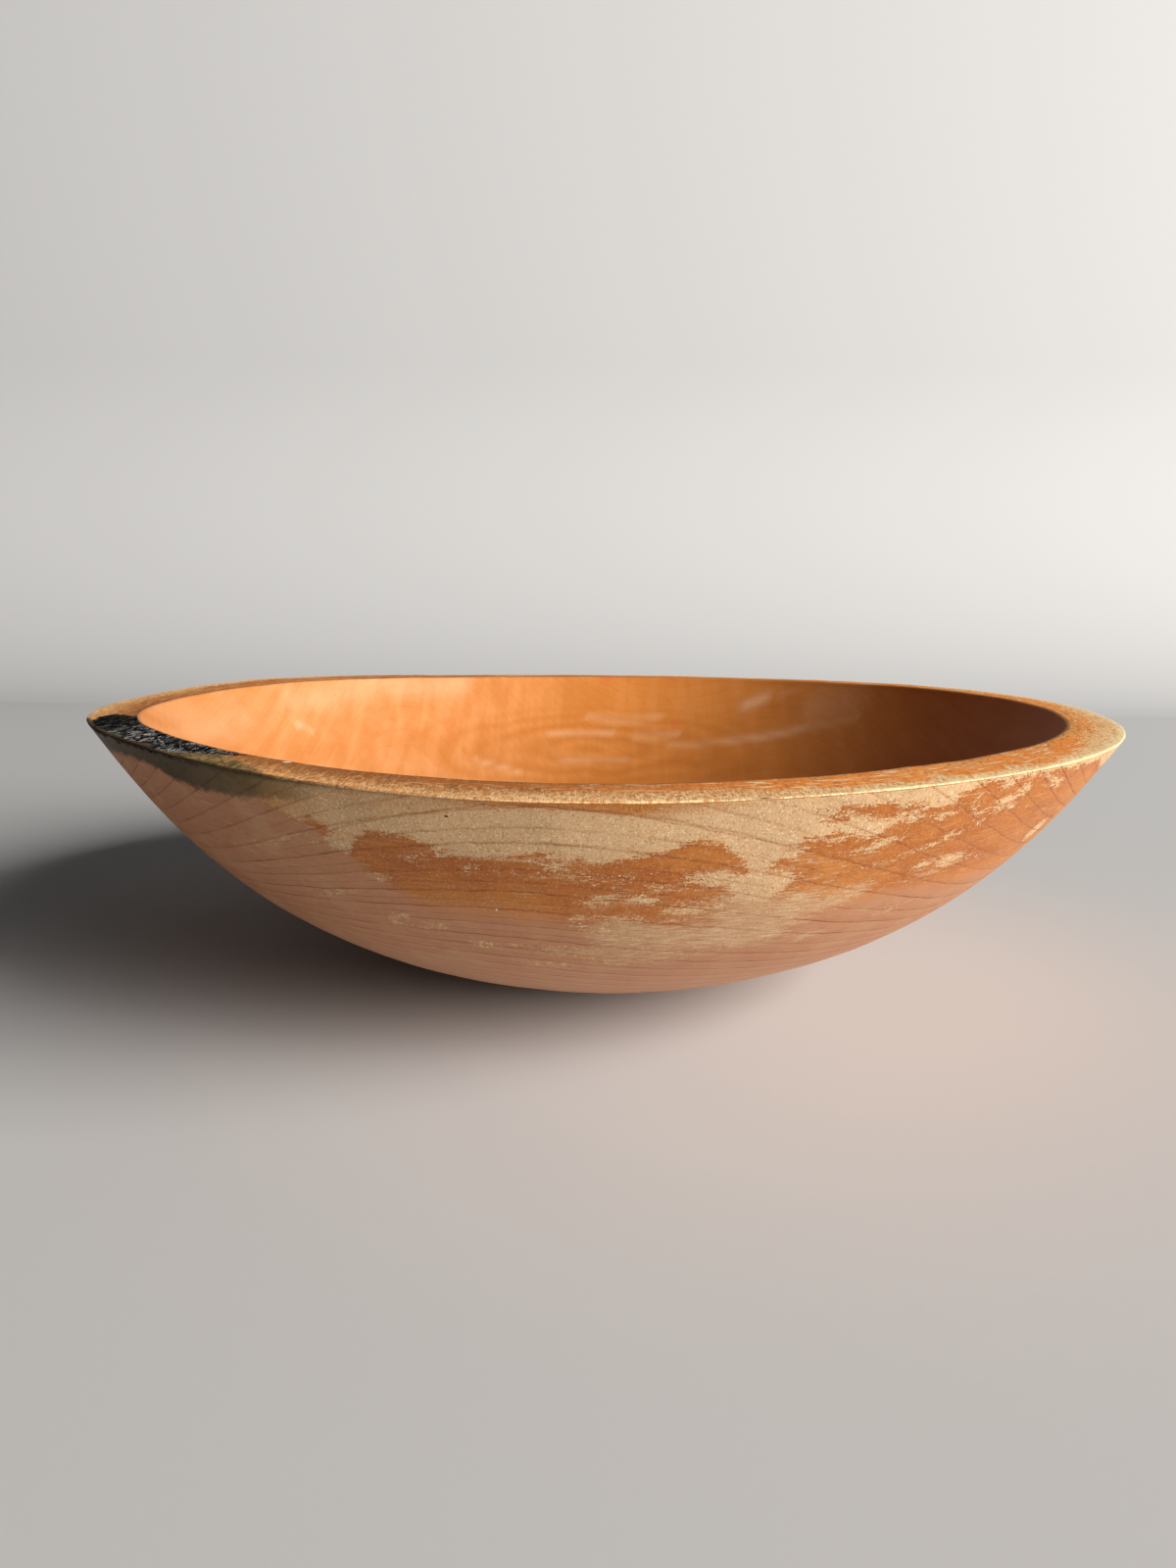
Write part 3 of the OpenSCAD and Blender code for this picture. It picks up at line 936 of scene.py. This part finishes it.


# The pin hole is painted dark: painted shade inside the hole.
pin_hole = dot(-100.8, 5.2, 0.62, 0.34)
brown_dots = dot(-108.0, 16.0, 0.45, 0.35).math("MAXIMUM", dot(-91.9, 3.4, 0.35, 0.25))
chips = dot(-98.9, 32.6, 0.28, 0.75).math("MAXIMUM", dot(-90.45, 23.1, 0.28, 0.26))
chip_angle = math.radians(-117.2)
chip_out = float(hollow_radius(chip_angle)) + 1.7
LIP_CHIP = (chip_out * math.cos(chip_angle), chip_out * math.sin(chip_angle),
            LIP_TOP + float(warp(chip_angle, chip_out / RIM_R)))
lip_chip = place.vector("SUBTRACT", LIP_CHIP).vector("MULTIPLY", (1 / 1.5, 1 / 1.2, 1 / 1.5))
chips = chips.math("MAXIMUM", 1.0 - lip_chip.vector("LENGTH", out="Value").over(0.5, 1.0))
print("nodes so far", len(tree.nodes))

# %% [markdown]
# ## The hollow
# The hollow kept its varnish: warm and even. Its figure is soft: broad bands of grain on the left, and
# flat ovals where the far wall just touches a ring.

# %% Colours of the hollow
HOLLOW_WARM = (0.610, 0.220, 0.045, 1)
HOLLOW_PAINTED_LIGHT = (0.640, 0.280, 0.110, 1)
HOLLOW_DEEP = (0.480, 0.155, 0.028, 1)
HOLLOW_PALE = (0.710, 0.330, 0.145, 1)
SMEAR_PALE = (0.800, 0.480, 0.280, 1)
HOLLOW_RED = (0.620, 0.130, 0.050, 1)
OVAL_AT = (-6.0, 128.0, 59.0)
oval = place.vector("SUBTRACT", OVAL_AT).vector("MULTIPLY", (1 / 62, 1 / 60, 1 / 12))
oval = oval.vector("LENGTH", out="Value") + (sway - 0.5) * 0.8
flame = ((oval * 2.6 + 0.1) * 2 * math.pi).math("SINE") * 0.5 + 0.5
flame = flame * (1.0 - oval.over(0.5, 2.2))
leftward = 1.0 - x.over(-110.0, 20.0)
# Painted light: the hollow is painted paler towards the left, the wall that the window lights.
inside = colour(HOLLOW_WARM).mixed(HOLLOW_PAINTED_LIGHT, leftward * 0.75)
inside = inside.mixed(HOLLOW_DEEP, cloud.over(0.35, 0.70) * 0.40 + ring_shade * 0.10)
inside = inside.mixed(HOLLOW_DEEP, flame * 0.65)
band_share = (1.0 - bands.over(0.34, 0.60)) * (0.12 + 0.30 * leftward)
inside = inside.mixed(HOLLOW_DEEP, band_share + rag.over(0.52, 0.70) * 0.20)
inside = inside.mixed(HOLLOW_PALE, bands.over(0.45, 0.75) * 0.12 + patch.over(0.45, 0.65) * 0.16 * leftward)
inside = inside.tinted(LINE_TINT, ring_line * 0.12 + pores * 0.06)
inside = inside.mixed(SMEAR_PALE, kept("smear") * (0.75 + 0.5 * (mottle - 0.5)))
inside = inside.mixed(HOLLOW_RED, kept("drops") * 0.8)
print("nodes so far", len(tree.nodes))

# %% [markdown]
# ## The rim
# The rim is end grain on two sides, so it took up dirt in brown streaks, and the strip that hands polish
# is pale and speckled. Raw rim and varnished rim are mixed apart, and the ragged mask picks one.

# %% Colours of the rim
RIM_GOLD = (0.88, 0.370, 0.100, 1)
RIM_BROWN = (0.33, 0.115, 0.028, 1)
RIM_CREAM = (1.0, 0.70, 0.36, 1)
RIM_PALE_AND_HIGHLIGHT = (1.0, 0.82, 0.50, 1)
RIM_ORANGE_COAT = (0.64, 0.175, 0.022, 1)
RIM_ORANGE_PAINTED_LIT = (1.0, 0.310, 0.040, 1)
LIP_SHADE = (0.09, 0.05, 0.04, 1)
speck = stretched(1, 3, 1).noise(1.15, 3.0, 0.75)
rim_streak = 1.0 - run_round(6.0).noise(1.2, 3.0, 0.70).over(0.38, 0.52)
pale_speck = speck.over(0.50, 0.60)
dark_speck = 1.0 - speck.over(0.40, 0.50)
rim_tear = run_round(6.0).vector("ADD", (5.0, 9.0, 2.0)).noise(0.75, 3.0, 0.65)
pale_tear = rim_tear.over(0.55, 0.62)
rim_raw = colour(RIM_GOLD).mixed(RIM_CREAM, kept("rim_pale") * (0.45 + 2.2 * (speck - 0.38)))
rim_raw = rim_raw.mixed(RIM_BROWN, kept("rim_dark") * (0.72 + 3.0 * (mottle - 0.45)))
rim_dirt = dark_speck * 0.40 + pores * 0.20 + rim_streak * (0.60 - 0.50 * kept("rim_pale"))
rim_raw = rim_raw.mixed(RIM_BROWN, rim_dirt)
rim_raw = rim_raw.mixed(RIM_PALE_AND_HIGHLIGHT, pale_speck * (0.08 + 0.55 * kept("rim_pale")))
# Painted light: the rim's orange coat is painted lighter towards the right, the side that the window lights.
rim_coat = colour(RIM_ORANGE_COAT).mixed(RIM_ORANGE_PAINTED_LIT, x.over(-70.0, 90.0))
rim_coat = rim_coat.mixed(THICK_DEEP, dark_speck * 0.30 + rim_streak * 0.30 + (long_grain - 0.50) * 0.9)
rim_bite = pale_tear * (0.48 + 0.34 * (1.0 - y.over(-60.0, 20.0))) + pale_speck * 0.10
rim_coat = rim_coat.mixed(RIM_PALE_AND_HIGHLIGHT, rim_bite)
rim_coat = rim_coat.mixed(RIM_BROWN, kept("rim_dark") * 0.5)
rim_top = rim_raw.mixed(rim_coat, rim_varnish * 0.92)
# Painted shade in the corner at the lip.
rim_top = rim_top.mixed(LIP_SHADE, kept("lip_shade_line") * (0.70 + 1.2 * (rag - 0.42)))
print("nodes so far", len(tree.nodes))

# %% [markdown]
# The three parts now become one colour. The mesh says where the rim and the hollow are, so each mask is
# 0 or 1 there and blends within one row of faces, at the crisp edge and at the lip.

# %% Wall, rim and hollow in one skin
outside = wall.mixed(raw, bareness)
outside = outside.mixed(THICK_DEEP, tide * 0.55)
# Painted shade in the pin hole.
outside = outside.mixed(PIN_HOLE_SHADE, pin_hole)
outside = outside.mixed(RAW_DARK, brown_dots * 0.7)
skin = outside.mixed(rim_top, rim_part)
# Painted highlight: the bright line along the outer edge.
skin = skin.mixed(RIM_PALE_AND_HIGHLIGHT, kept("edge_highlight") * 0.75)
skin = skin.mixed(CHIP_WHITE, chips * 0.8)
skin = skin.mixed(inside, hollow_part)
print("nodes so far", len(tree.nodes))

# %% [markdown]
# ## Stain and char
# Soot and oil soaked into the wall as a dull olive stain with the rings still showing. On the rim the
# wood is coal: black, with paler ash in the grain and fine silver fibres that curl across it. A fibre
# is where one noise passes its middle value, which draws thin winding lines.

# %% Colours of stain and char
OLIVE = (0.056, 0.037, 0.010, 1)
OLIVE_MID = (0.185, 0.125, 0.048, 1)
OLIVE_DARK = (0.020, 0.015, 0.008, 1)
OLIVE_PAINTED_LIT = (0.340, 0.225, 0.085, 1)
SOOT_AND_SHADE_LINE = (0.010, 0.007, 0.004, 1)
BLACK = (0.004, 0.004, 0.0045, 1)
ASH = (0.010, 0.011, 0.012, 1)
SILVER = (0.42, 0.41, 0.38, 1)
olive = colour(OLIVE).mixed(OLIVE_DARK, rag.over(0.38, 0.66) * 0.60 + (1.0 - fray.over(0.36, 0.50)) * 0.35)
olive = olive.mixed(OLIVE_MID, x.over(-112.0, -66.0) * (0.85 + 1.2 * (mottle - 0.5)))
# Painted light: the stain on the rim is painted lighter than on the wall, because the window lights the rim,
# and more so towards the right.
olive = olive.mixed(OLIVE_PAINTED_LIT, rim_part * x.over(-120.0, -92.0) * (0.65 + 4.0 * (mottle - 0.5)))
olive = olive.mixed(OLIVE_DARK, rim_part * (dark_speck * 0.7 + pores * 0.3))
olive = olive.tinted(LINE_TINT, ring_line * 1.0)
skin = skin.mixed(olive, stained * (0.97 + 0.3 * (fray - 0.5)))
# Soot and painted shade along the outer edge.
skin = skin.mixed(SOOT_AND_SHADE_LINE, kept("edge_soot_and_shade") * (0.75 + 0.25 * mottle.over(0.35, 0.6)))
hair_noise = stretched(1, 4.5, 1).noise(0.42, 3.0, 0.60, 0.5)
hair = 1.0 - (hair_noise - 0.5).math("ABSOLUTE").over(0.006, 0.032)
short_hair = stretched(1, 12, 1).noise(1.0, 2.0, 0.6, 0.9).over(0.52, 0.66)
hair_zone = (x.over(-146.0, -130.0) * (1.0 - x.over(-100.0, -88.0)) * 0.85 + 0.15) * rag.over(0.36, 0.54)
silver_fibre = (hair + short_hair * 0.6).math("MINIMUM", 1.0) * hair_zone * rim_part
soot = colour(BLACK).mixed(ASH, long_grain.over(0.40, 0.62) * 0.9)
soot = soot.mixed(RIM_BROWN, fray.over(0.62, 0.74) * 0.35)
soot = soot.mixed(SILVER, silver_fibre * 0.90)
skin = skin.mixed(soot, charred)
print("nodes so far", len(tree.nodes))

# %% [markdown]
# ## Gloss and touch
# Varnish is satin, raw wood is dull and its grain is raised, and char is rough. The heights of the
# bump are real: hundredths of a millimetre on the wood, tenths on the char. Char has no gloss at all,
# and a Principled shader would still give it some where the eye grazes it. So it gets a shader of its
# own with no specular, and its mask mixes the two.

# %% Surface
GLOSS = 0.38
WOOD_SPECULAR = 0.14
BUMP_SHARE = 0.8
varnished = (1.0 - bareness) * (1.0 - rim_part) * (1.0 - rubbed * 0.6) + rim_part * rim_varnish
varnished = varnished.math("MAXIMUM", hollow_part)
gloss_loss = 0.30 * (1.0 - varnished) + 0.10 * scuff + 0.10 * (1.0 - thickness) + 0.15 * charred
roughness = GLOSS + gloss_loss
touch = varnished * 0.04 + (1.0 - varnished) * (glints * 0.030 - pores * 0.045)
touch = touch + (long_grain - 0.5) * 0.05 + (scuff - 0.5) * 0.03 - ring_line * 0.03 - pin_hole * 0.3
touch = touch + charred * ((rag - 0.5) * 0.4 + silver_fibre * 0.22 + (long_grain - 0.5) * 0.5)
normal_wire = start.node("ShaderNodeBump", {}, {"Strength": BUMP_SHARE, "Distance": MM, "Height": touch})
shader = start.node("ShaderNodeBsdfPrincipled", {},
                    {"Base Color": skin, "Roughness": roughness, "Normal": normal_wire,
                     "Specular IOR Level": WOOD_SPECULAR})
burnt_shader = start.node("ShaderNodeBsdfPrincipled", {},
                          {"Base Color": skin, "Normal": normal_wire, "Roughness": 1.0,
                           "Specular IOR Level": 0.0})
both = start.node("ShaderNodeMixShader", {}, {0: charred, 1: shader, 2: burnt_shader})
tree.nodes.new("ShaderNodeOutputMaterial")
tree.links.new(both.socket, tree.nodes["Material Output"].inputs["Surface"])
mesh.materials.append(wood)
print("nodes in the wood", len(tree.nodes))

# %% [markdown]
# ## A pale table and soft light
# The bowl stands on pale paper that bends up behind it, lit by one large soft window on the right and
# a weak sky, which leaves the left of the outside and the right of the hollow in shade. The upright
# part of the paper would throw its light into that shade, so it is pale to the camera only: Light Path
# knows a ray from the camera from one that carries light. A gloss gets the dark paper too.

# %% Floor
PAPER = 0.66
PAPER_SEEN = 0.58
WALL_UNSEEN = 0.10
PAPER_HALF = 2.6
PAPER_DULL = 0.9
FLOOR_STARTS = -2.2
FLOOR_ENDS = 0.9
BEND_R = 0.5
WALL_TOP = 2.4


def sheet(name, line_y, line_z):
    """Paper as a surface: the line (y, z) drawn out along x, as far to the left as to the right."""
    line_x = np.linspace(-PAPER_HALF, PAPER_HALF, 5)
    grid_x, grid_y = np.meshgrid(line_x, line_y)
    grid_z = np.repeat(line_z[:, None], len(line_x), axis=1)
    corners = np.stack([grid_x, grid_y, grid_z], axis=-1).reshape(-1, 3)
    index = np.arange(grid_x.size).reshape(grid_x.shape)
    squares = np.stack([index[:-1, :-1], index[:-1, 1:], index[1:, 1:], index[1:, :-1]], axis=-1)
    made = bpy.data.meshes.new(name)
    made.from_pydata(corners.tolist(), [], squares.reshape(-1, 4).tolist())
    made.polygons.foreach_set("use_smooth", np.ones(len(made.polygons), bool))
    thing = bpy.data.objects.new(name, made)
    bpy.context.scene.collection.objects.link(thing)
    return made


def paper(name, unseen):
    """Dull pale paper; to rays that don't come from the camera it is as dark as unseen says."""
    look = bpy.data.materials.new(name)
    look.use_nodes = True
    page = Wire(look.node_tree)
    surface = look.node_tree.nodes["Principled BSDF"]
    surface.inputs["Roughness"].default_value = PAPER_DULL
    seen = page.node("ShaderNodeLightPath", {}, {}, "Is Camera Ray")
    tone = page.node("ShaderNodeMix", {"data_type": "RGBA"},
                     {0: seen, 6: (unseen, unseen, unseen, 1), 7: (PAPER_SEEN, PAPER_SEEN, PAPER_SEEN, 1)}, 2)
    look.node_tree.links.new(tone.socket, surface.inputs["Base Color"])
    return look


flat = sheet("paper_floor", np.array([FLOOR_STARTS, -0.5, FLOOR_ENDS]), np.zeros(3))
flat.materials.append(paper("pale_floor", PAPER))
curl = np.linspace(0, math.pi / 2, 17)
wall_y = np.append(FLOOR_ENDS + BEND_R * np.sin(curl), FLOOR_ENDS + BEND_R)
wall_z = np.append(BEND_R * (1 - np.cos(curl)), WALL_TOP)
upright = sheet("paper_wall", wall_y, wall_z)
upright.materials.append(paper("pale_wall", WALL_UNSEEN))
print("paper", len(flat.polygons) + len(upright.polygons), "faces")

# %% [markdown]
# The window is a big square lamp, because a small one would give hard shadows. It stands far away, so
# that the floor isn't much brighter on its side, and the camera doesn't see it.

# %% Lights
WINDOW_AT = Vector((6.87, -3.75, 3.30))
WINDOW_SIZE = 5.1
WINDOW_POWER = 1550.0
WINDOW_COLOUR = (1.0, 0.97, 0.93)
WINDOW_AIM = Vector((0, 0, 0.05))
window_data = bpy.data.lights.new("window", "AREA")
window_data.shape = "SQUARE"
window_data.size = WINDOW_SIZE
window_data.energy = WINDOW_POWER
window_data.color = WINDOW_COLOUR
window = bpy.data.objects.new("window", window_data)
window.location = WINDOW_AT
window.rotation_euler = (WINDOW_AIM - WINDOW_AT).to_track_quat("-Z", "Y").to_euler()
window.visible_camera = False
bpy.context.scene.collection.objects.link(window)
print("window", WINDOW_POWER, "W")

# %% [markdown]
# The sky that lights the bowl is weak, but it should look pale where it shows behind the paper. The
# Light Path node tells the two apart: the camera sees the pale one, and a gloss gets a quarter of it.

# %% Sky
SKY = 0.04
SKY_SEEN = 0.62
SKY_IN_GLOSS = 0.25
SKY_COLOUR = (0.95, 0.97, 1.0, 1)
world = bpy.data.worlds.new("soft_sky")
bpy.context.scene.world = world
world.use_nodes = True
air = Wire(world.node_tree)
sky = world.node_tree.nodes["Background"]
sky.inputs["Color"].default_value = SKY_COLOUR
seen = air.node("ShaderNodeLightPath", {}, {}, "Is Camera Ray")
glossy = air.node("ShaderNodeLightPath", {}, {}, "Is Glossy Ray")
brightness = SKY + (SKY_SEEN - SKY) * seen.math("MAXIMUM", glossy * SKY_IN_GLOSS)
world.node_tree.links.new(brightness.socket, sky.inputs["Strength"])
print("sky", SKY, "lights,", SKY_SEEN, "seen")

# %% [markdown]
# ## The picture
# What was made should still be the size of the CAD solid, but for the few millimetres that drying moved
# it. The picture uses the plain Standard view transform.

bpy.context.scene.view_settings.view_transform = "Standard"
